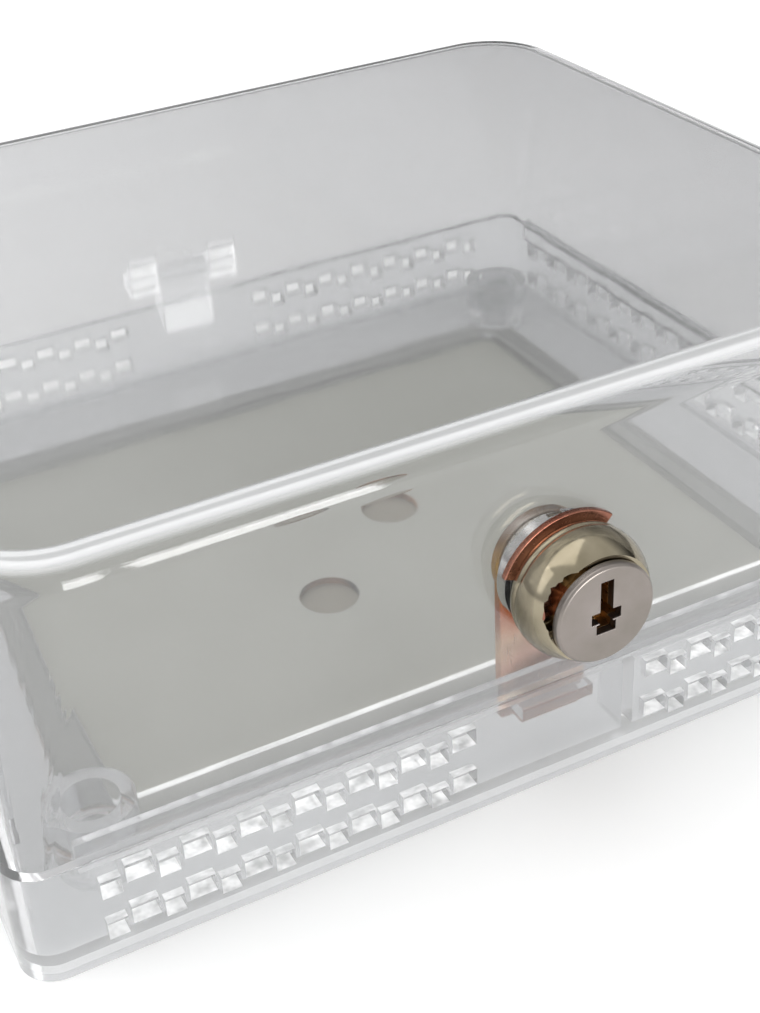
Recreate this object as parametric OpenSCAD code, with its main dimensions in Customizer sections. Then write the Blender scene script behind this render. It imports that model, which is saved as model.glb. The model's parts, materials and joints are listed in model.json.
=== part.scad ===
// Lockable clear guard box: a vented ring base clamps an opaque wall plate,
// and a deep clear cover swings on a rear hinge and is held shut by a cam lock.
// Frame: millimetres, +Z away from the wall, -Y the lock side, +Y the hinge side.
// The origin is the middle of the face that lies against the wall.

/* [Box] */
// Length of the box along X
box_w = 165; // [155:1:190]
// Depth of the box along Y, without the hinge and the lock
box_d = 147; // [140:1:165]
// Height of the closed box
box_h = 63.5; // [60:0.5:90]
// Height of the ring base, where the cover begins
ring_h = 18.4; // [18.2:0.2:22]
// Thickness of the clear walls
wall = 2.5; // [2:0.1:3]
// Corner radius of the ring and of the cover's rim
corner_r = 5.5; // [4.5:0.5:9]
// Corner radius of the cover at its top
top_corner_r = 16.5; // [14:0.5:20]
// Rounding of the cover's top edge
top_edge_r = 5; // [3.5:0.5:6]

/* [Wall plate] */
// Thickness of the opaque plate
plate_t = 1.5; // [1.2:0.1:1.6]
// Width of the clear flange inside the side walls
flange_side = 19.5; // [18:0.5:22]
// Width of the clear flange inside the long walls
flange_long = 23.3; // [22:0.1:25]
// Thickness of the clear flange
flange_t = 2; // [1.6:0.1:2]
// How far the flange laps over the plate
plate_lap = 6; // [4:0.5:7]
// Diameter of the two cable holes
cable_hole_d = 10.5; // [8:0.5:12]

/* [Screw bosses] */
// Distance of each screw from the nearest side wall's outer face
screw_inset_x = 16; // [15:0.5:17]
// Distance of each screw from the nearest long wall's outer face
screw_inset_y = 19; // [18:0.5:20]
// Diameter of each boss
boss_d = 13; // [11:0.5:13]
// Height of each boss
boss_h = 12; // [10:0.5:14]
// Diameter of each screw hole
screw_hole_d = 4.5; // [4:0.1:5]
// Diameter of the pocket for the screw's head
screw_head_d = 8.5; // [8:0.1:9]
// Depth of the pocket for the screw's head
screw_head_depth = 5; // [3:0.5:7]

/* [Vents] */
// Distance from one wide vent to the next
vent_pitch = 8.15; // [7.8:0.05:8.2]
// Width of a wide vent
vent_wide = 3.9; // [3.4:0.1:4]
// Width of a narrow vent
vent_narrow = 2.9; // [2.4:0.1:3]
// Height of a vent
vent_tall = 3; // [2.4:0.1:3.4]
// Sill heights of the wide vents
vent_wide_sills = [5, 12.6];
// Sill heights of the narrow vents
vent_narrow_sills = [3.8, 11.2];
// Distance of the first wide vent from the middle of a long wall
vent_start = 16.5; // [16:0.1:17]
// Number of wide vents on each half of a long wall
vent_columns = 7; // [3:1:7]
// Number of wide vents on each side of the middle of a short wall
vent_side_columns = 7; // [2:1:7]

/* [Hinge] */
// Whole width of the hinge
hinge_w = 24; // [20:1:40]
// Width of the knuckle on the ring
hinge_mid_w = 11; // [8:1:15]
// Radius of the hinge barrel
barrel_r = 2.4; // [2.2:0.1:2.8]
// Radius of the hinge pin
pin_r = 1.2; // [1:0.1:1.4]
// Height of the hinge pin above the seam
pin_rise = 4.8; // [4.4:0.2:7]

/* [Lock] */
// Height of the lock's axis above the seam
lock_rise = 18.1; // [17.5:0.1:20]
// How far the key face stands out of the cover
lock_out = 10; // [8.5:0.5:11]
// Largest radius of the lock's drum outside the cover
head_r = 10; // [9.8:0.1:10.6]
// Outer radius of the open ring under the drum
ring_washer_r = 11; // [11:0.1:12]
// Radius of the threaded body that passes through the cover
barrel_body_r = 7.9; // [7.5:0.1:8.2]
// Radius of the rotating plug
plug_r = 6.2; // [6:0.1:6.4]
// Radius of the key face
face_r = 7.7; // [7.6:0.1:8.2]
// Number of wafers in the plug
wafer_count = 5; // [3:1:5]
// Reach of the cam below the lock's axis
cam_reach = 26.8; // [26:0.1:27.5]
// Width of the cam
cam_w = 14; // [12:0.5:15]
// Thickness of the cam
cam_t = 1.8; // [1.5:0.1:2]

/* [Hidden] */
$fn = 48;
RUN_GAP = 0.05;      // radial clearance of a turning fit
SLIDE_GAP = 0.3;     // clearance between parts that only pass each other
BITE = 0.6;          // how far one region of a part runs into the next
EPS = 0.01;          // thickness of a slice in a hull
OVER = 1;            // how far a cutter runs past a face

half_w = box_w / 2;
half_d = box_d / 2;
inner_w = box_w - 2 * wall;
inner_d = box_d - 2 * wall;
front_y = -half_d;
front_in = front_y + wall;
rear_y = half_d;

open_w = inner_w - 2 * flange_side;
open_d = inner_d - 2 * flange_long;
open_corner_r = 3;
plate_w = open_w + 2 * plate_lap;
plate_d = open_d + 2 * plate_lap;
plate_corner_r = 4;
screw_x = half_w - screw_inset_x;
screw_y = half_d - screw_inset_y;
cable_holes = [[-11, -16], [11, 3]];

lip_t = 1.2;
lip_h = 2;
lip_shelf = 2.5;
lip_half_w = half_w - corner_r - 4;
lip_half_d = half_d - corner_r - 6;

pin_y = rear_y + barrel_r + 0.6;
pin_z = ring_h + pin_rise;
knuckle_gap = 0.4;
knuckle_w = (hinge_w - hinge_mid_w) / 2 - knuckle_gap;
knuckle_root_z = 10.5;
arm_y = pin_y - barrel_r;

lock_z = ring_h + lock_rise;
ring_washer_t = 1;
ring_washer_w = 1.9;
face_t = 1.4;
shell_out = lock_out - face_t - 0.2;
body_in = 5.9;
nut_r = 8.9;
nut_t = 2.1;
washer_r = 7.2;
washer_t = 0.8;
washer_y = body_in + 0.1;
cam_y = washer_y + washer_t;
tang = 6;
tang_end = cam_y + cam_t;
cam_screw_r = 1.7;
cam_foot_w = 10;
cam_foot_tip = wall + 2;
keeper_w = 12;
keeper_t = 2;
keeper_z = lock_z - cam_reach + cam_t + 0.7;
keeper_out = 3.2;
stop_x = 11.3;
stop_out = 6;

wafer_pitch = 2.4;
wafer_t = 1.2;
wafer_slot_t = wafer_t + 0.1;
wafer_slot_w = 8.4;
wafer_floor = -4.6;
wafer_drop = 1;
wafer_first = 5.8;
spring_x = -3.4;
spring_r = 0.38;
spring_wire = 0.2;
spring_top = -0.6;
spring_turns = 4;
spring_steps = 8;

WAFERS = [for (i = [1 : wafer_count]) str("wafer_", i)];
SPRINGS = [for (i = [1 : wafer_count]) str("wafer_spring_", i)];

// Flat outline of a rectangle with round corners, centred.
module rounded_rect(w, d, r) {
    square([w - 2 * r, d], center = true);
    square([w, d - 2 * r], center = true);
    for (x = [-1, 1]) {
        for (y = [-1, 1]) {
            translate([x * (w / 2 - r), y * (d / 2 - r)]) circle(r);
        }
    }
}

// Solid that keeps its sides upright while its corners open from r0 to r1,
// with a rounded top edge.
module domed_block(w, d, r0, r1, z0, z1, edge) {
    hull() {
        translate([0, 0, z0]) linear_extrude(EPS) rounded_rect(w, d, r0, $fn = 32);
        for (a = [0 : 18 : 90]) {
            inset = edge * (1 - cos(a));
            translate([0, 0, z1 - edge + edge * sin(a) - EPS])
                linear_extrude(EPS)
                    rounded_rect(w - 2 * inset, d - 2 * inset, r1 - inset, $fn = 32);
        }
    }
}

// Places its children on the lock's axis: their +Z points out of the box, and
// their zero is the cover's outer face.
module on_lock_axis() {
    translate([0, front_y, lock_z]) rotate([90, 0, 0]) children();
}

// Extrudes a YZ outline along X, centred on x.
module along_x(x, w) {
    translate([x - w / 2, 0, 0])
        rotate([90, 0, 90]) linear_extrude(w) children();
}

// Mirrors its children to both sides of the X axis's middle.
module both_x() {
    children();
    mirror([1, 0, 0]) children();
}

// One row of vent outlines, as seen from the front of a wall.
module vent_row(centres, w, sills) {
    for (x = centres) {
        for (z = sills) {
            translate([x - w / 2, z]) square([w, vent_tall]);
        }
    }
}

// Vents of the two long walls: wide and narrow columns that alternate.
module long_wall_vents() {
    wide = [for (k = [0 : vent_columns - 1]) vent_start + k * vent_pitch];
    narrow = [for (x = wide) x + vent_pitch / 2];
    both_x() {
        vent_row(wide, vent_wide, vent_wide_sills);
        vent_row(narrow, vent_narrow, vent_narrow_sills);
    }
}

// Vents of the two short walls.
module short_wall_vents() {
    n = vent_side_columns;
    wide = [for (k = [-n : n]) k * vent_pitch];
    narrow = [for (k = [-n - 1 : n]) (k + 0.5) * vent_pitch];
    vent_row(wide, vent_wide, vent_wide_sills);
    vent_row(narrow, vent_narrow, vent_narrow_sills);
}

// Puts its children at the four screw positions.
module at_screws() {
    for (x = [-screw_x, screw_x]) {
        for (y = [-screw_y, screw_y]) {
            translate([x, y, 0]) children();
        }
    }
}

// Outline of the hinge knuckle on the ring, in YZ: its arm rises behind the cover.
module ring_knuckle_outline() {
    translate([pin_y, pin_z]) circle(barrel_r);
    polygon([
        [rear_y - BITE, knuckle_root_z],
        [rear_y + 1, knuckle_root_z],
        [pin_y + barrel_r, ring_h - 2],
        [pin_y + barrel_r, pin_z],
        [arm_y, pin_z],
        [arm_y, ring_h - 1],
        [rear_y - BITE, ring_h - 1]
    ]);
}

// Outline of a hinge knuckle on the cover, in YZ.
module cover_knuckle_outline() {
    translate([pin_y, pin_z]) circle(barrel_r);
    polygon([
        [rear_y - BITE, pin_z - barrel_r],
        [pin_y, pin_z - barrel_r],
        [pin_y, pin_z + barrel_r],
        [rear_y, pin_z + 3 * barrel_r],
        [rear_y - BITE, pin_z + 3 * barrel_r]
    ]);
}

// Opaque plate that lies on the wall under the flange of the ring.
module wall_plate() {
    color([0.69, 0.70, 0.66])
        difference() {
            linear_extrude(plate_t) rounded_rect(plate_w, plate_d, plate_corner_r);
            at_screws()
                translate([0, 0, -OVER])
                    cylinder(r = boss_d / 2 + SLIDE_GAP, h = plate_t + 2 * OVER);
            for (p = cable_holes) {
                translate([p[0], p[1], -OVER]) cylinder(d = cable_hole_d, h = plate_t + 2 * OVER);
            }
        }
}

// Upright wall of the ring with its vents.
module ring_wall() {
    difference() {
        linear_extrude(ring_h) rounded_rect(box_w, box_d, corner_r);
        translate([0, 0, -OVER])
            linear_extrude(ring_h + 2 * OVER) rounded_rect(inner_w, inner_d, corner_r - wall);
        translate([0, half_d + OVER, 0])
            rotate([90, 0, 0]) linear_extrude(box_d + 2 * OVER) long_wall_vents();
        translate([-half_w - OVER, 0, 0])
            rotate([90, 0, 90]) linear_extrude(box_w + 2 * OVER) short_wall_vents();
    }
}

// Flange around the opening, lapping over the plate.
module ring_flange() {
    translate([0, 0, plate_t])
        linear_extrude(flange_t)
            difference() {
                rounded_rect(inner_w + BITE, inner_d + BITE, corner_r - wall + BITE / 2);
                rounded_rect(open_w, open_d, open_corner_r);
            }
}

// Bars along the near wall and the side walls, from height z0 to z1, that start
// a gap away from the wall's inner face.
module lip_bars(gap, z0, z1) {
    thick = SLIDE_GAP + lip_t - gap;
    translate([-lip_half_w, front_in + gap, z0])
        cube([2 * lip_half_w, thick, z1 - z0]);
    both_x()
        translate([inner_w / 2 - gap - thick, -lip_half_d, z0])
            cube([thick, 2 * lip_half_d, z1 - z0]);
}

// Locating lip inside the cover's rim, on a shelf; the hinge side has none.
module ring_lip() {
    lip_bars(-BITE, ring_h - lip_shelf, ring_h);
    lip_bars(SLIDE_GAP, ring_h, ring_h + lip_h);
}

// Ledge that the foot of the cam hooks under, with the side wall of its pocket.
module ring_keeper() {
    translate([-keeper_w / 2, front_in - BITE, keeper_z])
        cube([keeper_w, keeper_out + BITE, keeper_t]);
    translate([stop_x, front_in - BITE, plate_t])
        cube([keeper_t, stop_out + BITE, ring_h - lip_shelf - plate_t]);
}

// Clear ring that is screwed to the wall over the plate.
module ring_base() {
    color([0.86, 0.89, 0.91])
        difference() {
            union() {
                ring_wall();
                ring_flange();
                ring_lip();
                ring_keeper();
                at_screws() cylinder(d = boss_d, h = boss_h);
                along_x(0, hinge_mid_w) ring_knuckle_outline();
            }
            at_screws() {
                translate([0, 0, -OVER]) cylinder(d = screw_hole_d, h = boss_h + 2 * OVER);
                translate([0, 0, boss_h - screw_head_depth])
                    cylinder(d = screw_head_d, h = screw_head_depth + OVER);
            }
            translate([-hinge_w, pin_y, pin_z])
                rotate([0, 90, 0]) cylinder(r = pin_r, h = 2 * hinge_w);
        }
}

// Deep clear cover with the lock's hole and the outer hinge knuckles.
module cover() {
    color([0.90, 0.93, 0.95])
        difference() {
            union() {
                difference() {
                    domed_block(box_w, box_d, corner_r, top_corner_r, ring_h, box_h, top_edge_r);
                    domed_block(
                        inner_w, inner_d, corner_r - wall, top_corner_r - wall,
                        ring_h - OVER, box_h - wall, top_edge_r - wall + EPS
                    );
                }
                both_x()
                    along_x(hinge_w / 2 - knuckle_w / 2, knuckle_w) cover_knuckle_outline();
            }
            on_lock_axis()
                translate([0, 0, -2 * wall]) cylinder(r = barrel_body_r + 0.1, h = 4 * wall);
            translate([-hinge_w, pin_y, pin_z])
                rotate([0, 90, 0]) cylinder(r = pin_r + RUN_GAP, h = 2 * hinge_w);
        }
}

// Steel pin, held in the ring's knuckle.
module hinge_pin() {
    color([0.75, 0.76, 0.78])
        translate([-hinge_w / 2 + 0.3, pin_y, pin_z])
            rotate([0, 90, 0]) cylinder(r = pin_r, h = hinge_w - 0.6);
}

// Half section of the lock's shell: a bulging drum outside, the body inside.
module shell_profile() {
    bore_r = plug_r + RUN_GAP;
    foot_z = ring_washer_t;
    foot_r = head_r - 0.5;
    rim_r = face_r + 0.5;
    bulge = [
        for (t = [0 : 0.125 : 1])
            [
                foot_r + (rim_r - foot_r) * t * t + 4 * (head_r - foot_r + 0.2) * t * (1 - t),
                foot_z + (shell_out - foot_z) * t
            ]
    ];
    polygon(concat(
        [
            [bore_r, -body_in],
            [barrel_body_r - 0.4, -body_in],
            [barrel_body_r, -body_in + 0.4],
            [barrel_body_r, foot_z]
        ],
        bulge,
        [[bore_r, shell_out]]
    ));
}

// Nickel shell of the lock, with a recess in the rim of its drum.
module lock_shell() {
    recess_from = 105;
    recess_to = 195;
    recess_depth = 1.5;
    recess_inner = plug_r - BITE;
    recess_outer = face_r + 1;
    color([0.72, 0.70, 0.64])
        on_lock_axis()
            difference() {
                rotate_extrude($fn = 96) shell_profile();
                translate([0, 0, shell_out - recess_depth])
                    rotate([0, 0, recess_from])
                        rotate_extrude(angle = recess_to - recess_from)
                            translate([recess_inner, 0])
                                square([recess_outer - recess_inner, recess_depth + OVER]);
            }
}

// Outline of the keyway on the key face: a slot with a cross bar and a foot.
module keyway_outline() {
    slot = [2, 8.3];
    bar = [4.6, 1.7];
    foot = [3, 1.5];
    slot_bottom = -2.9;
    bar_bottom = -1.1;
    translate([-slot[0] / 2, slot_bottom]) square(slot);
    translate([-bar[0] / 2, bar_bottom]) square(bar);
    translate([-foot[0] / 2, slot_bottom]) square(foot);
}

// Nickel cap on the front of the plug.
module plug_cap() {
    edge = 0.35;
    color([0.80, 0.79, 0.76])
        on_lock_axis()
            difference() {
                rotate_extrude($fn = 96)
                    polygon([
                        [0, lock_out - face_t],
                        [face_r, lock_out - face_t],
                        [face_r, lock_out - edge],
                        [face_r - edge, lock_out],
                        [0, lock_out]
                    ]);
                translate([0, 0, lock_out - face_t - OVER])
                    linear_extrude(face_t + 2 * OVER) keyway_outline();
            }
}

// Distance of wafer i from the cover's outer face, along the lock's axis.
function wafer_at(i) = wafer_first - (i - 1) * wafer_pitch;

// Brass plug with its keyway, wafer slots, square tang and screw hole.
module lock_plug() {
    key_depth = 14;
    screw_depth = 3.4;
    color([0.76, 0.62, 0.36])
        on_lock_axis()
            difference() {
                union() {
                    translate([0, 0, -body_in])
                        cylinder(r = plug_r, h = body_in + lock_out - face_t);
                    translate([-tang / 2, -tang / 2, -tang_end])
                        cube([tang, tang, tang_end - body_in + BITE]);
                }
                translate([0, 0, lock_out - key_depth])
                    linear_extrude(key_depth) keyway_outline();
                for (i = [1 : wafer_count]) {
                    translate([-wafer_slot_w / 2, wafer_floor, wafer_at(i) - wafer_slot_t / 2])
                        cube([wafer_slot_w, 2 * plug_r, wafer_slot_t]);
                }
                translate([0, 0, -tang_end - OVER]) cylinder(r = cam_screw_r, h = screw_depth + OVER);
            }
}

// Wafer i: a thin plate with a window for the key and a notch for its spring.
module wafer(i) {
    window = [4.6, 7.4];
    window_x = -1.9;
    window_y = wafer_floor + wafer_drop + 0.9 + 0.15 * (i % 3);
    notch_x = -2.6;
    color([0.80, 0.66, 0.38])
        on_lock_axis()
            translate([0, 0, wafer_at(i) - wafer_t / 2])
                linear_extrude(wafer_t)
                    difference() {
                        intersection() {
                            circle(plug_r - 0.1);
                            translate([-wafer_slot_w / 2, wafer_floor + wafer_drop])
                                square([wafer_slot_w, 2 * plug_r]);
                        }
                        translate([window_x, window_y]) square(window);
                        translate([-plug_r, wafer_floor])
                            square([plug_r + notch_x, spring_top - wafer_floor]);
                    }
}

// Spring i under its wafer: square wire swept along a helix.
module wafer_spring(i) {
    rings = spring_turns * spring_steps;
    sides = 4;
    bottom = wafer_floor + spring_wire;
    rise = (spring_top - wafer_floor - 2 * spring_wire) / rings;
    points = [
        for (k = [0 : rings])
            for (s = [0 : sides - 1])
                let (turn = 360 * k / spring_steps)
                let (side = 360 * (s + 0.5) / sides)
                let (r = spring_r + spring_wire * cos(side))
                [r * cos(turn), bottom + rise * k + spring_wire * sin(side), r * sin(turn)]
    ];
    skin = [
        for (k = [0 : rings - 1])
            for (s = [0 : sides - 1])
                for (half = [0, 1])
                    let (a = k * sides + s)
                    let (b = k * sides + (s + 1) % sides)
                    half == 0 ? [a, b, b + sides] : [a, b + sides, a + sides]
    ];
    caps = [[2, 1, 0], [3, 2, 0], [0, 1, 2] + [1, 1, 1] * rings * sides,
            [0, 2, 3] + [1, 1, 1] * rings * sides];
    color([0.70, 0.71, 0.72])
        on_lock_axis()
            translate([spring_x, 0, wafer_at(i)])
                polyhedron(points = points, faces = concat(skin, caps));
}

// Copper-coloured open ring that is clamped between the drum and the cover.
module open_ring() {
    from = 50;
    to = 160;
    color([0.72, 0.42, 0.28])
        on_lock_axis()
            rotate([0, 0, from])
                rotate_extrude(angle = to - from)
                    translate([ring_washer_r - ring_washer_w, 0])
                        square([ring_washer_w, ring_washer_t]);
}

// Round nut on the body's thread, with two slots for a spanner.
module lock_nut() {
    slot = [2.4, 1];
    color([0.74, 0.74, 0.73])
        on_lock_axis()
            difference() {
                translate([0, 0, -wall - nut_t]) cylinder(r = nut_r, h = nut_t);
                translate([0, 0, -wall - nut_t - OVER])
                    cylinder(r = barrel_body_r + RUN_GAP, h = nut_t + 2 * OVER);
                for (a = [0, 180]) {
                    rotate([0, 0, a])
                        translate([-slot[0] / 2, barrel_body_r, -wall - nut_t - OVER])
                            cube([slot[0], 2 * slot[1], slot[1] + OVER]);
                }
            }
}

// Washer between the plug and the cam, with a square hole.
module cam_washer() {
    color([0.70, 0.69, 0.66])
        on_lock_axis()
            translate([0, 0, -washer_y - washer_t])
                linear_extrude(washer_t)
                    difference() {
                        circle(washer_r);
                        square(tang, center = true);
                    }
}

// Zinc-plated cam: a strap that points down, with a foot bent towards the front.
module cam() {
    color([0.82, 0.68, 0.42])
        on_lock_axis() {
            translate([0, 0, -cam_y - cam_t])
                linear_extrude(cam_t)
                    difference() {
                        union() {
                            circle(cam_w / 2 + 0.5);
                            translate([-cam_w / 2, -cam_reach]) square([cam_w, cam_reach]);
                        }
                        square(tang, center = true);
                    }
            translate([-cam_foot_w / 2, -cam_reach, -cam_y - cam_t])
                cube([cam_foot_w, cam_t, cam_y + cam_t - cam_foot_tip]);
        }
}

// Screw with a cross recess that clamps the cam to the plug.
module cam_screw() {
    head_r = 4.4;
    head_h = 2.2;
    shank = 3.2;
    recess = [4.8, 1, 1.2];
    color([0.76, 0.76, 0.75])
        on_lock_axis()
            difference() {
                union() {
                    translate([0, 0, -tang_end - head_h]) cylinder(r = head_r, h = head_h);
                    translate([0, 0, -tang_end]) cylinder(r = cam_screw_r, h = shank);
                }
                for (a = [0, 90]) {
                    rotate([0, 0, a])
                        translate([-recess[0] / 2, -recess[1] / 2, -tang_end - head_h - OVER])
                            cube([recess[0], recess[1], recess[2] + OVER]);
                }
            }
}

wall_plate();
ring_base();
cover();
hinge_pin();
lock_shell();
plug_cap();
lock_plug();
for (i = [1 : wafer_count]) {
    wafer(i);
    wafer_spring(i);
}
open_ring();
lock_nut();
cam_washer();
cam();
cam_screw();
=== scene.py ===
"""Looks of the lockable clear guard box: smooth clear mouldings, a nickel cam lock and a matt wall plate."""

import json
import math

import bmesh
import bpy
from mathutils import Matrix, Vector


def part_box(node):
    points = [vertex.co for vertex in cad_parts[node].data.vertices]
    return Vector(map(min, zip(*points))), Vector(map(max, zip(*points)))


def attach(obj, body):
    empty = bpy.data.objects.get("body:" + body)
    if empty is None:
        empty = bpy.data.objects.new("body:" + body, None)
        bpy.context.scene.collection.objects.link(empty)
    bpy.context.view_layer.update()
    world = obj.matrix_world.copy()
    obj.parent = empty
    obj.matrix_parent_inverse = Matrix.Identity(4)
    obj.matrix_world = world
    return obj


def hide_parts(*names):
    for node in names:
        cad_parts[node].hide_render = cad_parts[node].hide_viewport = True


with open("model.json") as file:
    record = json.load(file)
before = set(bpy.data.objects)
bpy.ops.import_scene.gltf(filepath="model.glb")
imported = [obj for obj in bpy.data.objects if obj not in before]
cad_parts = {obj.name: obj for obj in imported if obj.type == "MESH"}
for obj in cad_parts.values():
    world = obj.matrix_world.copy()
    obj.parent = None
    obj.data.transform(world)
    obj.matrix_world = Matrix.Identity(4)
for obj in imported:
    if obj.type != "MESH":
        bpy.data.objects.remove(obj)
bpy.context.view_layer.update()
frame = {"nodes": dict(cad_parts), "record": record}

MM = 0.001
NODES = frame["nodes"]
scene = bpy.context.scene


# ---------------------------------------------------------------- frame sizes
def joint_at(name):
    """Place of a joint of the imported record, in metres."""
    for joint in frame["record"]["behaviour"]["joints"]:
        if joint["name"] == name:
            return Vector(joint["pos_m"])
    raise ValueError(name)


COVER_LO, COVER_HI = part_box("cover")
SHELL_LO, SHELL_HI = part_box("lock_shell")
PLATE_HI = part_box("wall_plate")[1]
KEY_FACE_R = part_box("plug_cap")[1].x
PIN_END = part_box("hinge_pin")[1].x
LOCK = joint_at("lock_turn")
HINGE = joint_at("cover_hinge")

BOX_W = COVER_HI.x - COVER_LO.x
FRONT_Y = COVER_LO.y
BACK_Y = -FRONT_Y
BOX_D = -2 * FRONT_Y
RING_TOP = COVER_LO.z
TOP_Z = COVER_HI.z

# ---------------------------------------------------------------- cover and ring sizes
WALL = 2.5 * MM
CORNER_R = 5.5 * MM
TOP_CORNER_R = 16.5 * MM
TOP_EDGE_R = 5 * MM
SEAM_GAP = 0.08 * MM
LOCK_HOLE_R = 8 * MM
PIN_BORE_R = 1.25 * MM
KNUCKLE_START = 5.9 * MM
KNUCKLE_PAST_PIN = 0.3 * MM
FLANGE = 2 * MM
PLATE_LAP = 5.5 * MM

# ---------------------------------------------------------------- lock sizes
LOCK_BORE_R = 6.25 * MM
BODY_R = 7.9 * MM
BODY_EDGE = 0.4 * MM
THREADS = 9
THREAD_DEPTH = 0.25 * MM
OPEN_RING_T = 1 * MM
DRUM_FOOT_R = 9.5 * MM
DRUM_RIM_R = KEY_FACE_R + 0.5 * MM
DRUM_BULGE = 0.7 * MM
GROOVE_DEPTH = 0.3 * MM
RECESS_DEPTH = 1.4 * MM


# ---------------------------------------------------------------- camera
def make_camera():
    """Camera at the photograph's viewing angle, from the left and above."""
    azimuth = math.radians(-23.95)
    elevation = math.radians(30.64)
    roll = math.radians(-4.2)
    back = Vector((
        math.sin(azimuth) * math.cos(elevation),
        -math.cos(azimuth) * math.cos(elevation),
        math.sin(elevation),
    ))
    level = (-back).cross(Vector((0, 0, 1))).normalized()
    upright = level.cross(-back)
    right = math.cos(roll) * level + math.sin(roll) * upright
    up = -math.sin(roll) * level + math.cos(roll) * upright
    data = bpy.data.cameras.new("photo_camera")
    data.sensor_width = 36
    data.lens = 56.07
    data.shift_x = 0.051
    data.shift_y = -0.0726
    data.clip_start = 0.01
    data.clip_end = 50
    camera = bpy.data.objects.new("photo_camera", data)
    axes = Matrix((right, up, back)).transposed()
    camera.matrix_world = Matrix.Translation((-0.09974, -0.2215, 0.16632)) @ axes.to_4x4()
    scene.collection.objects.link(camera)
    scene.camera = camera


# ---------------------------------------------------------------- node helpers
def new_material(name):
    """Empty node material with a Principled shader; returns (material, tree, shader)."""
    material = bpy.data.materials.new(name)
    material.use_nodes = True
    tree = material.node_tree
    tree.nodes.clear()
    tree.nodes.new("ShaderNodeOutputMaterial").name = "output"
    shader = tree.nodes.new("ShaderNodeBsdfPrincipled")
    set_surface(tree, shader.outputs["BSDF"])
    return material, tree, shader


def set_surface(tree, result):
    """Makes a shader's result the surface of the material."""
    tree.links.new(result, tree.nodes["output"].inputs["Surface"])


def position(tree, scale=(1, 1, 1), origin=(0, 0, 0)):
    """Object position, moved to an origin and stretched."""
    coords = tree.nodes.new("ShaderNodeTexCoord")
    mapping = tree.nodes.new("ShaderNodeMapping")
    mapping.inputs["Location"].default_value = [-o * s for o, s in zip(origin, scale)]
    mapping.inputs["Scale"].default_value = scale
    tree.links.new(coords.outputs["Object"], mapping.inputs["Vector"])
    return mapping.outputs["Vector"]


def parts_of(tree, vector):
    """X, Y and Z of a vector."""
    node = tree.nodes.new("ShaderNodeSeparateXYZ")
    tree.links.new(vector, node.inputs[0])
    return node.outputs["X"], node.outputs["Y"], node.outputs["Z"]


def facing(tree):
    """X, Y and Z of the direction that the surface faces."""
    coords = tree.nodes.new("ShaderNodeTexCoord")
    return parts_of(tree, coords.outputs["Normal"])


def noise(tree, vector, scale, detail=3.0):
    """Noise texture's factor output at a scale in cells per metre."""
    node = tree.nodes.new("ShaderNodeTexNoise")
    node.inputs["Scale"].default_value = scale
    node.inputs["Detail"].default_value = detail
    node.inputs["Roughness"].default_value = 0.55
    tree.links.new(vector, node.inputs["Vector"])
    return node.outputs["Fac"]


def math_node(tree, operation, a, b=None, clamp=False):
    """Math node on two sockets or numbers."""
    node = tree.nodes.new("ShaderNodeMath")
    node.operation = operation
    node.use_clamp = clamp
    for socket, value in zip(node.inputs, (a, b)):
        if value is None:
            continue
        if isinstance(value, (int, float)):
            socket.default_value = value
        else:
            tree.links.new(value, socket)
    return node.outputs[0]


def spread(tree, value, low, high, start=0.0, end=1.0):
    """Maps a value from start..end to low..high."""
    node = tree.nodes.new("ShaderNodeMapRange")
    node.inputs["From Min"].default_value = start
    node.inputs["From Max"].default_value = end
    node.inputs["To Min"].default_value = low
    node.inputs["To Max"].default_value = high
    tree.links.new(value, node.inputs["Value"])
    return node.outputs["Result"]


def ramp(tree, value, stops):
    """Colour ramp; stops are (place, colour) pairs."""
    node = tree.nodes.new("ShaderNodeValToRGB")
    elements = node.color_ramp.elements
    while len(elements) < len(stops):
        elements.new(0.5)
    for element, (place, colour) in zip(elements, stops):
        element.position = place
        element.color = (*colour, 1)
    tree.links.new(value, node.inputs["Fac"])
    return node.outputs["Color"]


def mixed_colour(tree, factor, first, second):
    """Mix of two colours, which are sockets or plain values."""
    node = tree.nodes.new("ShaderNodeMix")
    node.data_type = "RGBA"
    tree.links.new(factor, node.inputs["Factor"])
    for socket, colour in (("A", first), ("B", second)):
        if isinstance(colour, tuple):
            node.inputs[socket].default_value = colour
        else:
            tree.links.new(colour, node.inputs[socket])
    return node.outputs["Result"]


def mixed_shader(tree, factor, first, second):
    """Mix of two shaders."""
    node = tree.nodes.new("ShaderNodeMixShader")
    tree.links.new(factor, node.inputs["Fac"])
    tree.links.new(first, node.inputs[1])
    tree.links.new(second, node.inputs[2])
    return node.outputs["Shader"]


def bump(tree, shader, height, distance, strength=1.0):
    """Bump of a given depth in metres on a shader."""
    node = tree.nodes.new("ShaderNodeBump")
    node.inputs["Distance"].default_value = distance
    node.inputs["Strength"].default_value = strength
    tree.links.new(height, node.inputs["Height"])
    tree.links.new(node.outputs["Normal"], shader.inputs["Normal"])


# ---------------------------------------------------------------- clear plastic
def rounding_mask(tree):
    """1 on the upper half of a rounding, 0 on upright walls and on level faces."""
    lean = math_node(tree, "ABSOLUTE", facing(tree)[2])
    off_wall = spread(tree, lean, 0.0, 1.0, 0.7, 0.88)
    off_level = spread(tree, lean, 1.0, 0.0, 0.985, 0.9995)
    return math_node(tree, "MULTIPLY", off_wall, off_level)


def hinge_mask(tree):
    """1 behind the far wall's outer face, where the hinge knuckles are."""
    y = parts_of(tree, position(tree))[1]
    return spread(tree, y, 0.0, 1.0, BACK_Y + 0.2 * MM, BACK_Y + 1.5 * MM)


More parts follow.
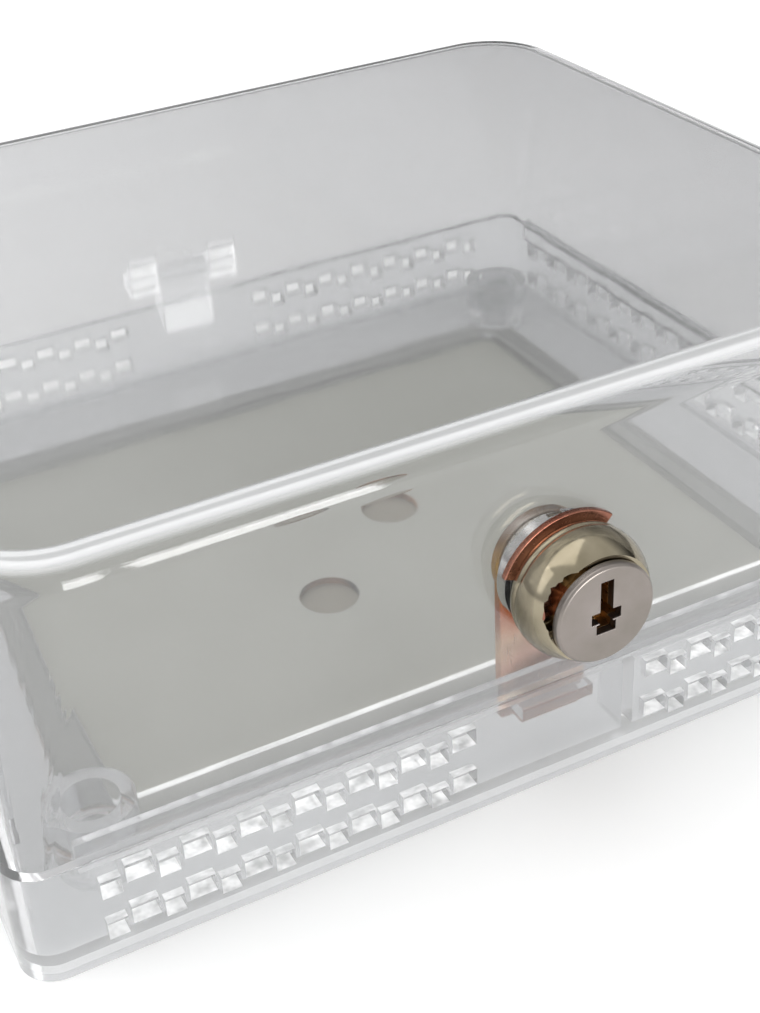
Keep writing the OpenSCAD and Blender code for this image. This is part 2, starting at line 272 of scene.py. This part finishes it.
def foot_mask(tree):
    """1 at the foot of the ring, where it has rubbed on the wall."""
    z = parts_of(tree, position(tree))[2]
    return spread(tree, z, 1.0, 0.0, 3 * MM, 6 * MM)


def sill_mask(tree):
    """1 on the level sills of the vents, where painted glints and extra haze go."""
    x, y, z = parts_of(tree, position(tree))
    level = math_node(tree, "GREATER_THAN", facing(tree)[2], 0.7)
    above = math_node(tree, "GREATER_THAN", z, PLATE_HI.z + FLANGE + 0.2 * MM)
    below = math_node(tree, "LESS_THAN", z, RING_TOP - MM)
    height = math_node(tree, "MULTIPLY", above, below)
    along = math_node(tree, "SUBTRACT", math_node(tree, "ABSOLUTE", x), BOX_W / 2 - WALL)
    across = math_node(tree, "SUBTRACT", math_node(tree, "ABSOLUTE", y), BOX_D / 2 - WALL)
    in_wall = math_node(tree, "GREATER_THAN", math_node(tree, "MAXIMUM", along, across), 0)
    return math_node(tree, "MULTIPLY", level, math_node(tree, "MULTIPLY", height, in_wall))


def painted_glints(tree):
    """Painted glints: emission strength that paints highlights on the vent sills and the hinge knuckles; the
    sill glints fade towards the hinge side.
    """
    uneven = spread(tree, noise(tree, position(tree), 420, 2), 0.0, 0.8, 0.32, 0.68)
    y = parts_of(tree, position(tree))[1]
    lock_side = spread(tree, y, 1.0, 0.3, FRONT_Y / 2, BACK_Y / 2)
    glint = math_node(tree, "MULTIPLY", uneven, lock_side)
    sparkle = math_node(tree, "MULTIPLY", sill_mask(tree), glint)
    return math_node(tree, "ADD", sparkle, hinge_mask(tree))


def clear_plastic(name, tint, rough, wave, haze, edge_haze, foot_haze):
    """Clear moulded plastic with a thin haze that is milkier on roundings; it lets shadow light through."""
    material, tree, shader = new_material(name)
    shader.inputs["Base Color"].default_value = (*tint, 1)
    shader.inputs["Transmission Weight"].default_value = 1.0
    shader.inputs["IOR"].default_value = 1.49
    smears = noise(tree, position(tree), 60, 4)
    scuffs = noise(tree, position(tree, (1, 1, 6)), 420, 2)
    worn = math_node(tree, "MULTIPLY", smears, scuffs)
    tree.links.new(spread(tree, worn, *rough, 0.15, 0.4), shader.inputs["Roughness"])
    bump(tree, shader, noise(tree, position(tree), 38, 1.5), wave)
    # Emission paints glints on the vent sills and a painted highlight on the hinge knuckles; the plastic is
    # no lamp.
    tree.links.new(painted_glints(tree), shader.inputs["Emission Strength"])
    shader.inputs["Emission Color"].default_value = (1, 1, 1, 1)

    milky = tree.nodes.new("ShaderNodeBsdfDiffuse")
    milky.inputs["Color"].default_value = (0.86, 0.865, 0.87, 1)
    veil = spread(tree, noise(tree, position(tree), 14, 3), *haze, 0.3, 0.7)
    masks = ((rounding_mask, edge_haze), (hinge_mask, 0.3), (foot_mask, foot_haze), (sill_mask, 0.3))
    for mask, amount in masks:
        extra = math_node(tree, "MULTIPLY", mask(tree), amount)
        veil = math_node(tree, "ADD", veil, extra, clamp=True)
    veiled = mixed_shader(tree, veil, shader.outputs["BSDF"], milky.outputs["BSDF"])

    clear = tree.nodes.new("ShaderNodeBsdfTransparent")
    clear.inputs["Color"].default_value = (0.82, 0.822, 0.82, 1)
    rays = tree.nodes.new("ShaderNodeLightPath")
    passing = math_node(
        tree, "MAXIMUM", rays.outputs["Is Shadow Ray"], rays.outputs["Is Diffuse Ray"], clamp=True
    )
    set_surface(tree, mixed_shader(tree, passing, veiled, clear.outputs["BSDF"]))
    return material


def painted_edge_glow():
    """Edge of clear plastic painted with a glow (emission) that stands in for the light that runs inside it;
    a painted highlight.
    """
    material, tree, shader = new_material("painted_glow_plastic_edge")
    shader.inputs["Base Color"].default_value = (0.85, 0.86, 0.86, 1)
    glow = noise(tree, position(tree, (1, 4, 4)), 70)
    tree.links.new(spread(tree, glow, 0.35, 1.3, 0.3, 0.7), shader.inputs["Emission Strength"])
    shader.inputs["Emission Color"].default_value = (1, 1, 0.98, 1)
    shader.inputs["Roughness"].default_value = 0.4
    return material


# ---------------------------------------------------------------- plate and metals
def matt_plate():
    """Opaque grey-beige plastic with a fine moulded grain; its upright faces are painted near black to
    brown, a painted shade for the hole walls.
    """
    material, tree, shader = new_material("plate_matt_plastic")
    cloud = noise(tree, position(tree), 22, 4)
    face = ramp(tree, cloud, ((0.3, (0.43, 0.43, 0.38)), (0.7, (0.49, 0.49, 0.44))))
    streaks = noise(tree, position(tree), 90, 1)
    # Upright faces: near black to brown, painted shade for the walls of the holes.
    painted_hole_shade = ramp(tree, streaks, ((0.4, (0.05, 0.045, 0.035)), (0.62, (0.42, 0.24, 0.13))))
    upright = math_node(tree, "LESS_THAN", math_node(tree, "ABSOLUTE", facing(tree)[2]), 0.6)
    tree.links.new(mixed_colour(tree, upright, face, painted_hole_shade), shader.inputs["Base Color"])
    grain = noise(tree, position(tree), 2600, 2)
    tree.links.new(spread(tree, grain, 0.42, 0.62), shader.inputs["Roughness"])
    bump(tree, shader, grain, 0.04 * MM, 0.7)
    return material


def metal(name, dark, light, rough, grain_scale, stretch=(1, 1, 1)):
    """Metal whose colour runs between a dark and a light one, with a stretched grain."""
    material, tree, shader = new_material(name)
    shader.inputs["Metallic"].default_value = 1.0
    cloud = noise(tree, position(tree), 140)
    tree.links.new(ramp(tree, cloud, ((0.3, dark), (0.7, light))), shader.inputs["Base Color"])
    grain = noise(tree, position(tree, stretch), grain_scale)
    tree.links.new(spread(tree, grain, *rough, 0.25, 0.75), shader.inputs["Roughness"])
    bump(tree, shader, grain, 0.01 * MM, 0.5)
    return material


def turned_nickel():
    """Satin nickel with concentric turning marks round the lock's axis."""
    material, tree, shader = new_material("turned_nickel")
    shader.inputs["Metallic"].default_value = 1.0
    length = tree.nodes.new("ShaderNodeVectorMath")
    length.operation = "LENGTH"
    tree.links.new(position(tree, (1, 0, 1), LOCK), length.inputs[0])
    radius = length.outputs["Value"]
    rings = tree.nodes.new("ShaderNodeTexNoise")
    rings.noise_dimensions = "1D"
    rings.inputs["Scale"].default_value = 5200
    rings.inputs["Detail"].default_value = 2
    tree.links.new(radius, rings.inputs["W"])
    cloud = math_node(tree, "MULTIPLY", noise(tree, position(tree), 170), 0.7)
    centre = math_node(tree, "MULTIPLY", spread(tree, radius, 1, 0, 0.5 * MM, 4.5 * MM), 0.25)
    shade = math_node(tree, "ADD", cloud, centre)
    colour = ramp(tree, shade, (
        (0.20, (0.25, 0.225, 0.20)),
        (0.55, (0.31, 0.275, 0.255)),
        (0.85, (0.36, 0.34, 0.30)),
    ))
    tree.links.new(colour, shader.inputs["Base Color"])
    tree.links.new(spread(tree, rings.outputs["Fac"], 0.24, 0.42), shader.inputs["Roughness"])
    bump(tree, shader, rings.outputs["Fac"], 0.012 * MM, 0.6)
    return material


def yellow_zinc():
    """Iridescent yellow zinc plate: olive, gold, orange and pink run into each other."""
    material, tree, shader = new_material("yellow_zinc")
    shader.inputs["Metallic"].default_value = 1.0
    swirl = math_node(tree, "MULTIPLY", noise(tree, position(tree, (1, 1, 0.6), LOCK), 95, 2), 0.5)
    z = parts_of(tree, position(tree, (1, 1, 1), LOCK))[2]
    height = math_node(tree, "MULTIPLY", spread(tree, z, 0.0, 1.0, 8 * MM, -22 * MM), 0.75)
    colour = ramp(tree, math_node(tree, "ADD", swirl, height), (
        (0.27, (0.50, 0.47, 0.44)),
        (0.38, (0.22, 0.13, 0.06)),
        (0.48, (0.50, 0.27, 0.02)),
        (0.67, (0.50, 0.11, 0.02)),
        (0.79, (0.85, 0.58, 0.40)),
        (0.88, (0.72, 0.42, 0.30)),
        (0.95, (0.24, 0.10, 0.05)),
    ))
    tree.links.new(colour, shader.inputs["Base Color"])
    grain = noise(tree, position(tree, (1, 1, 0.12)), 1800, 2)
    tree.links.new(spread(tree, grain, 0.2, 0.42), shader.inputs["Roughness"])
    bump(tree, shader, grain, 0.015 * MM, 0.5)
    return material


MATERIALS = {
    "clear_cover": clear_plastic(
        "clear_plastic_cover", tint=(0.78, 0.78, 0.785), rough=(0.02, 0.06), wave=0.06 * MM,
        haze=(0.03, 0.06), edge_haze=0.4, foot_haze=0.0,
    ),
    "clear_base": clear_plastic(
        "clear_plastic_base", tint=(0.77, 0.775, 0.785), rough=(0.05, 0.12), wave=0.05 * MM,
        haze=(0.08, 0.17), edge_haze=0.4, foot_haze=0.1,
    ),
    "painted_edge_glow": painted_edge_glow(),
    "plate": matt_plate(),
    "key_face": turned_nickel(),
    "cam_zinc": yellow_zinc(),
    "nickel": metal(
        "warm_nickel", (0.27, 0.235, 0.165), (0.39, 0.345, 0.255), (0.08, 0.2), 700, (1, 0.2, 1)
    ),
    "plug_brass": metal(
        "turned_brass", (0.46, 0.27, 0.12), (0.58, 0.37, 0.18), (0.22, 0.4), 1500, (1, 0.2, 1)
    ),
    "wafer_brass": metal(
        "stamped_brass", (0.58, 0.40, 0.17), (0.68, 0.50, 0.24), (0.25, 0.45), 1500
    ),
    "spring_steel": metal(
        "spring_wire", (0.46, 0.46, 0.47), (0.60, 0.60, 0.61), (0.2, 0.35), 3000
    ),
    "ring_copper": metal(
        "copper_plate", (0.20, 0.075, 0.05), (0.42, 0.20, 0.14), (0.14, 0.34), 900
    ),
    "nut_nickel": metal(
        "bright_nickel", (0.66, 0.66, 0.64), (0.78, 0.78, 0.77), (0.1, 0.22), 1200, (1, 0.3, 1)
    ),
    "washer_steel": metal(
        "plated_washer", (0.50, 0.47, 0.42), (0.62, 0.60, 0.54), (0.2, 0.38), 1400
    ),
    "screw_steel": metal(
        "zinc_screw", (0.52, 0.52, 0.51), (0.66, 0.66, 0.64), (0.2, 0.36), 1600
    ),
    "pin_steel": metal(
        "drawn_pin", (0.55, 0.55, 0.56), (0.68, 0.68, 0.69), (0.14, 0.3), 1600, (0.1, 1, 1)
    ),
}


# ---------------------------------------------------------------- mesh helpers
def finish_mesh(name, bm, body, slot, replaced, bevel, segments=3):
    """Turns a bmesh into a smooth shaded piece with rounded sharp edges."""
    bmesh.ops.recalc_face_normals(bm, faces=bm.faces)
    mesh = bpy.data.meshes.new(name)
    bm.to_mesh(mesh)
    bm.free()
    mesh.shade_smooth()
    piece = bpy.data.objects.new(name, mesh)
    scene.collection.objects.link(piece)
    rounding = piece.modifiers.new("rounding", "BEVEL")
    rounding.width = bevel
    rounding.segments = segments
    rounding.limit_method = "ANGLE"
    rounding.angle_limit = math.radians(32)
    rounding.use_clamp_overlap = True
    rounding.harden_normals = True
    weighted = piece.modifiers.new("even_shading", "WEIGHTED_NORMAL")
    weighted.keep_sharp = False
    weighted.weight = 50
    mesh.materials.append(MATERIALS[slot])
    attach(piece, body)
    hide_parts(*replaced)
    return piece


def clean_copy(node):
    """Copy of a CAD node's shape with its coplanar triangles joined."""
    source = bmesh.new()
    source.from_mesh(NODES[node].data)
    bmesh.ops.remove_doubles(source, verts=source.verts, dist=0.002 * MM)
    bmesh.ops.dissolve_limit(
        source, angle_limit=math.radians(0.4), verts=source.verts, edges=source.edges
    )
    source.verts.ensure_lookup_table()
    copy = bmesh.new()
    verts = [copy.verts.new(v.co) for v in source.verts]
    for face in source.faces:
        copy.faces.new([verts[v.index] for v in face.verts])
    source.free()
    return copy


def rounded_outline(width, depth, radius, height, steps):
    """Closed rectangle with round corners, as points at one height."""
    points = []
    for corner in range(4):
        sx = (1, -1, -1, 1)[corner]
        sy = (1, 1, -1, -1)[corner]
        cx = sx * (width / 2 - radius)
        cy = sy * (depth / 2 - radius)
        for k in range(steps + 1):
            a = math.radians(90) * (corner + k / steps)
            points.append(Vector((cx + radius * math.cos(a), cy + radius * math.sin(a), height)))
    return points


def loft(bm, rings):
    """Quads between rings that have the same number of points; returns the rings' verts."""
    made = [[bm.verts.new(p) for p in ring] for ring in rings]
    for low, high in zip(made, made[1:]):
        for k in range(len(low)):
            n = (k + 1) % len(low)
            bm.faces.new((low[k], low[n], high[n], high[k]))
    return made


def shell_rings(width, depth, r_low, r_high, z_low, z_high, edge):
    """Outlines of a block whose corners open up towards its rounded top edge."""
    corner_steps = 20
    levels = 10
    rings = [rounded_outline(width, depth, r_low, z_low, corner_steps)]
    for k in range(levels + 1):
        a = math.radians(90) * k / levels
        inset = edge * (1 - math.cos(a))
        z = z_high - edge + edge * math.sin(a)
        rings.append(rounded_outline(
            width - 2 * inset, depth - 2 * inset, r_high - inset, z, corner_steps
        ))
    return rings


def cylinder(bm, start, end, radius, steps):
    """Closed cylinder between two points."""
    axis = (end - start).normalized()
    side = axis.orthogonal().normalized()
    other = axis.cross(side)
    rings = []
    for centre in (start, end):
        ring = []
        for k in range(steps):
            a = math.tau * k / steps
            ring.append(centre + radius * (math.cos(a) * side + math.sin(a) * other))
        rings.append(ring)
    made = loft(bm, rings)
    bm.faces.new(made[0][::-1])
    bm.faces.new(made[1])


def prism_along_x(bm, outline, x0, x1):
    """Closed prism of a YZ outline."""
    made = loft(bm, [[Vector((x, y, z)) for y, z in outline] for x in (x0, x1)])
    bm.faces.new(made[0][::-1])
    bm.faces.new(made[1])


def combined(bm, operation, tool):
    """Boolean of two closed bmeshes; both inputs are used up."""
    objects = []
    for part in (bm, tool):
        bmesh.ops.recalc_face_normals(part, faces=part.faces)
        mesh = bpy.data.meshes.new("boolean_input")
        part.to_mesh(mesh)
        part.free()
        made = bpy.data.objects.new("boolean_input", mesh)
        scene.collection.objects.link(made)
        objects.append(made)
    modifier = objects[0].modifiers.new("boolean", "BOOLEAN")
    modifier.operation = operation
    modifier.solver = "MANIFOLD"
    modifier.object = objects[1]
    bpy.context.view_layer.update()
    evaluated = objects[0].evaluated_get(bpy.context.evaluated_depsgraph_get())
    result = bmesh.new()
    result.from_mesh(evaluated.to_mesh())
    evaluated.to_mesh_clear()
    for made in objects:
        mesh = made.data
        bpy.data.objects.remove(made)
        bpy.data.meshes.remove(mesh)
    bmesh.ops.remove_doubles(result, verts=result.verts, dist=0.002 * MM)
    return result


def on_lock(radius, angle, out):
    """Point at a radius and an angle round the lock's axis, at a distance out of the cover."""
    return Vector((
        LOCK.x + radius * math.cos(angle), FRONT_Y - out, LOCK.z + radius * math.sin(angle)
    ))


def lathe(bm, profile, steps):
    """Closed solid of revolution round the lock's axis; profile is (radius, distance out of the cover)."""
    columns = []
    for k in range(steps):
        a = math.tau * k / steps
        columns.append([bm.verts.new(on_lock(radius, a, out)) for radius, out in profile])
    for k in range(steps):
        here, there = columns[k], columns[(k + 1) % steps]
        for i in range(len(profile)):
            n = (i + 1) % len(profile)
            bm.faces.new((here[i], here[n], there[n], there[i]))


# ---------------------------------------------------------------- cover and ring
def cover_shell():
    """The cover's hollow block, open at the seam, a hair above the ring."""
    seam_z = RING_TOP + SEAM_GAP
    bm = bmesh.new()
    outer = loft(bm, shell_rings(
        BOX_W, BOX_D, CORNER_R, TOP_CORNER_R, seam_z, TOP_Z, TOP_EDGE_R
    ))
    bm.faces.new(outer[-1])
    inner = loft(bm, shell_rings(
        BOX_W - 2 * WALL, BOX_D - 2 * WALL, CORNER_R - WALL, TOP_CORNER_R - WALL,
        seam_z, TOP_Z - WALL, TOP_EDGE_R - WALL,
    ))
    bm.faces.new(inner[-1][::-1])
    count = len(outer[0])
    for k in range(count):
        n = (k + 1) % count
        bm.faces.new((outer[0][n], outer[0][k], inner[0][k], inner[0][n]))
    return bm


def make_cover():
    """Deep clear cover: smooth corners that open upwards, a lock hole and two hinge knuckles."""
    hole = bmesh.new()
    through = Vector((0, 2 * WALL, 0))
    middle = Vector((0, FRONT_Y, LOCK.z))
    cylinder(hole, middle - through, middle + through, LOCK_HOLE_R, 96)
    bm = combined(cover_shell(), "DIFFERENCE", hole)
    for side in (-1, 1):
        bm = combined(bm, "UNION", knuckle(side))
    bore = bmesh.new()
    reach = Vector((BOX_W / 4, 0, 0))
    cylinder(bore, HINGE - reach, HINGE + reach, PIN_BORE_R, 48)
    bm = combined(bm, "DIFFERENCE", bore)
    finish_mesh("clear_cover_moulding", bm, "cover", "clear_cover", ["cover"], 0.16 * MM)


def knuckle(side):
    """One of the cover's hinge knuckles, with a curved web that runs into the wall."""
    barrel = COVER_HI.y - HINGE.y
    rise = 3 * barrel
    sunk_y = BACK_Y - 0.5 * WALL
    outline = [(sunk_y, HINGE.z - barrel), (HINGE.y, HINGE.z - barrel)]
    barrel_steps = 16
    for k in range(1, barrel_steps):
        a = math.radians(-90 + 180 * k / barrel_steps)
        outline.append((HINGE.y + barrel * math.cos(a), HINGE.z + barrel * math.sin(a)))
    outline.append((HINGE.y, HINGE.z + barrel))
    web_steps = 8
    for k in range(1, web_steps):
        t = k / web_steps
        outline.append((
            HINGE.y + (BACK_Y - HINGE.y) * t,
            HINGE.z + barrel + (rise - barrel) * t * t,
        ))
    outline.append((BACK_Y, HINGE.z + rise))
    outline.append((sunk_y, HINGE.z + rise))
    bm = bmesh.new()
    ends = sorted((side * KNUCKLE_START, side * (PIN_END + KNUCKLE_PAST_PIN)))
    prism_along_x(bm, outline, *ends)
    return bm


def make_ring():
    """Clear vented ring with a wider rounding along the flange's opening, whose near edge carries a painted
    glow.
    """
    bm = clean_copy("ring_base")
    flange_top = PLATE_HI.z + FLANGE
    opening = Vector((PLATE_HI.x - PLATE_LAP, PLATE_HI.y - PLATE_LAP))
    level_with_flange = 0.01 * MM
    rim = []
    for edge in bm.edges:
        on_opening = all(
            abs(v.co.z - flange_top) < level_with_flange
            and abs(v.co.x) < opening.x
            and abs(v.co.y) < opening.y
            for v in edge.verts
        )
        if on_opening and len(edge.link_faces) == 2 and edge.calc_face_angle() > 1:
            rim.append(edge)
    bmesh.ops.bevel(
        bm, geom=rim, offset=0.9 * MM, segments=4, profile=0.5, affect="EDGES", clamp_overlap=True
    )
    bm.normal_update()
    for face in bm.faces:
        # Faces on the near side of the flange's opening get the painted edge glow, a painted highlight.
        middle = face.calc_center_median()
        near_side = abs(middle.y + opening.y - 0.5 * MM) < 1.5 * MM and face.normal.y > 0.3
        if near_side and PLATE_HI.z < middle.z < flange_top + level_with_flange:
            face.material_index = 1
    ring = finish_mesh("clear_ring_moulding", bm, "base", "clear_base", ["ring_base"], 0.2 * MM)
    ring.data.materials.append(MATERIALS["painted_edge_glow"])


# ---------------------------------------------------------------- lock and small parts
def drum_radius(t):
    """Radius of the lock's drum from its foot, t = 0, to its front rim, t = 1."""
    groove = GROOVE_DEPTH * math.exp(-((t - 0.2) / 0.05) ** 2)
    taper = DRUM_FOOT_R + (DRUM_RIM_R - DRUM_FOOT_R) * t * t
    return taper + 4 * DRUM_BULGE * t * (1 - t) - groove


def lock_profile(front, body):
    """Half outline of the lock, as (radius, distance out of the cover): threaded body, then drum."""
    profile = [
        (LOCK_BORE_R, -body),
        (BODY_R - BODY_EDGE, -body),
        (BODY_R, -body + BODY_EDGE),
    ]
    pitch = (body - BODY_EDGE - WALL) / THREADS
    for k in range(THREADS):
        out = -body + BODY_EDGE + pitch * (k + 0.5)
        profile.append((BODY_R - THREAD_DEPTH, out))
        profile.append((BODY_R, out + pitch / 2))
    profile.append((BODY_R, OPEN_RING_T))
    drum_steps = 40
    for k in range(drum_steps + 1):
        t = k / drum_steps
        profile.append((drum_radius(t), OPEN_RING_T + (front - OPEN_RING_T) * t))
    profile.append((LOCK_BORE_R, front))
    return profile


def recess_cutter(front):
    """Uneven ring sector that leaves a ragged recess in the drum's rim."""
    start, stop = math.radians(104), math.radians(196)
    steps = 26
    inner = LOCK_BORE_R - 0.8 * MM
    rings = []
    for k in range(steps + 1):
        a = start + (stop - start) * k / steps
        ragged = 0.09 * MM * math.sin(1.3 * k) + 0.07 * MM * math.sin(2.9 * k + 1)
        swell = math.sin(math.pi * (k + 0.5) / (steps + 1))
        outer = KEY_FACE_R + (0.1 + 1.0 * swell) * MM + ragged
        floor = front - RECESS_DEPTH + ragged
        section = ((inner, floor), (outer, floor), (outer, front + MM), (inner, front + MM))
        rings.append([on_lock(radius, a, out) for radius, out in section])
    bm = bmesh.new()
    made = loft(bm, rings)
    bm.faces.new(made[0][::-1])
    bm.faces.new(made[-1])
    return bm


def copper_shows(face, front):
    """Whether a face of the lock lies in the recess, where the plating is worn off."""
    middle = face.calc_center_median() - LOCK
    reach = math.hypot(middle.x, middle.z)
    out = FRONT_Y - LOCK.y - middle.y
    turn = math.degrees(math.atan2(middle.z, middle.x)) % 360
    in_rim = reach < KEY_FACE_R + MM and front - 2.2 * MM < out < front - 0.4 * MM
    return in_rim and 136 < turn < 174


def make_lock_shell():
    """Bulging nickel drum with a worn recess in its rim, and the body inside the cover."""
    front = FRONT_Y - SHELL_LO.y
    body = SHELL_HI.y - FRONT_Y
    bm = bmesh.new()
    lathe(bm, lock_profile(front, body), 160)
    bm = combined(bm, "DIFFERENCE", recess_cutter(front))
    for face in bm.faces:
        if copper_shows(face, front):
            face.material_index = 1
    drum = finish_mesh("lock_drum", bm, "cover", "nickel", ["lock_shell"], 0.12 * MM, 2)
    drum.data.materials.append(MATERIALS["ring_copper"])


def make_small_parts():
    """Metal parts and the plate: the CAD shapes with their edges rounded."""
    jobs = (
        ("wall_plate", "plate_moulding", "base", "plate", 0.15),
        ("hinge_pin", "hinge_pin_rounded", "base", "pin_steel", 0.15),
        ("plug_cap", "key_face_disc", "plug", "key_face", 0.18),
        ("lock_plug", "brass_plug", "plug", "plug_brass", 0.08),
        ("open_ring", "open_ring_plated", "cover", "ring_copper", 0.25),
        ("lock_nut", "round_nut", "cover", "nut_nickel", 0.2),
        ("cam_washer", "cam_washer_stamped", "plug", "washer_steel", 0.12),
        ("cam", "cam_bent_strap", "plug", "cam_zinc", 0.35),
        ("cam_screw", "cam_screw_head", "plug", "screw_steel", 0.15),
    )
    for node, name, body, slot, bevel in jobs:
        finish_mesh(name, clean_copy(node), body, slot, [node], bevel * MM)


def dress_inner_nodes():
    """Wafers and springs keep their CAD shapes and get their metals."""
    for node, piece in NODES.items():
        if node.startswith("wafer_spring"):
            finish = "spring_steel"
        elif node.startswith("wafer"):
            finish = "wafer_brass"
        else:
            continue
        for material_slot in piece.material_slots:
            material_slot.material = MATERIALS[finish]


# ---------------------------------------------------------------- stage
def make_floor():
    """Large plain white floor with a painted shadow, dark brown, where the opaque plate lies on it."""
    material, tree, shader = new_material("white_floor")
    cloud = noise(tree, position(tree), 3, 2)
    paper = ramp(tree, cloud, ((0.3, (0.93, 0.93, 0.93)), (0.7, (0.95, 0.95, 0.95))))
    x, y, _ = parts_of(tree, position(tree))
    along = math_node(tree, "DIVIDE", math_node(tree, "ABSOLUTE", x), PLATE_HI.x)
    across = math_node(tree, "DIVIDE", math_node(tree, "ABSOLUTE", y), PLATE_HI.y)
    painted_plate_shadow = math_node(tree, "LESS_THAN", math_node(tree, "MAXIMUM", along, across), 0.95)
    # Painted shadow: the floor under the plate is coloured dark, and its emission follows that colour.
    colour = mixed_colour(tree, painted_plate_shadow, paper, (0.27, 0.25, 0.20, 1))
    tree.links.new(colour, shader.inputs["Base Color"])
    tree.links.new(colour, shader.inputs["Emission Color"])
    shader.inputs["Emission Strength"].default_value = 0.14
    shader.inputs["Roughness"].default_value = 0.7
    half = 6.0
    level = -0.2 * MM
    corners = [(-half, -half, level), (half, -half, level), (half, half, level), (-half, half, level)]
    mesh = bpy.data.meshes.new("floor")
    mesh.from_pydata(corners, [], [(0, 1, 2, 3)])
    mesh.materials.append(material)
    floor = bpy.data.objects.new("floor", mesh)
    scene.collection.objects.link(floor)


def make_world():
    """Bright sky that is greyer at the horizon, with a dark quarter behind the right side."""
    world = bpy.data.worlds.new("studio")
    scene.world = world
    world.use_nodes = True
    tree = world.node_tree
    tree.nodes.clear()
    output = tree.nodes.new("ShaderNodeOutputWorld")
    background = tree.nodes.new("ShaderNodeBackground")
    direction = tree.nodes.new("ShaderNodeTexCoord").outputs["Generated"]
    sky = ramp(tree, parts_of(tree, direction)[2], (
        (0.0, (0.62, 0.62, 0.63)),
        (0.14, (0.70, 0.70, 0.71)),
        (0.35, (0.86, 0.87, 0.88)),
        (0.8, (1.0, 1.0, 1.0)),
    ))
    dark_side = tree.nodes.new("ShaderNodeVectorMath")
    dark_side.operation = "DOT_PRODUCT"
    dark_side.inputs[1].default_value = (0.85, 0.52, 0.0)
    tree.links.new(direction, dark_side.inputs[0])
    shade = spread(tree, dark_side.outputs["Value"], 1.0, 0.1, 0.62, 0.88)
    shaded = tree.nodes.new("ShaderNodeVectorMath")
    shaded.operation = "SCALE"
    tree.links.new(sky, shaded.inputs[0])
    tree.links.new(shade, shaded.inputs["Scale"])
    tree.links.new(shaded.outputs["Vector"], background.inputs["Color"])
    background.inputs["Strength"].default_value = 0.9
    tree.links.new(background.outputs["Background"], output.inputs["Surface"])


def area_light(name, direction, distance, size, power):
    """Rectangular light that looks at the middle of the box."""
    data = bpy.data.lights.new(name, "AREA")
    data.shape = "RECTANGLE"
    data.size, data.size_y = size
    data.energy = power
    light = bpy.data.objects.new(name, data)
    centre = Vector((0, 0, TOP_Z / 2))
    towards = Vector(direction).normalized()
    light.location = centre + towards * distance
    light.rotation_mode = "QUATERNION"
    light.rotation_quaternion = towards.to_track_quat("Z", "Y")
    scene.collection.objects.link(light)


def make_lights():
    """Soft overhead panel, a side fill and two low window panes in front."""
    area_light("overhead", (-0.25, 0.25, 1), distance=1.6, size=(1.6, 1.6), power=9)
    area_light("left_fill", (-1, 0.2, 0.55), distance=1.8, size=(1.2, 1.2), power=5)
    area_light("window_left", (0.01, -1, 0.14), distance=2.2, size=(0.66, 0.60), power=15)
    area_light("window_right", (0.277, -1, 0.14), distance=2.2, size=(0.39, 0.60), power=9)
    scene.view_settings.view_transform = "Standard"


# ---------------------------------------------------------------- build
make_camera()
make_cover()
make_ring()
make_lock_shell()
make_small_parts()
dress_inner_nodes()
make_floor()
make_world()
make_lights()
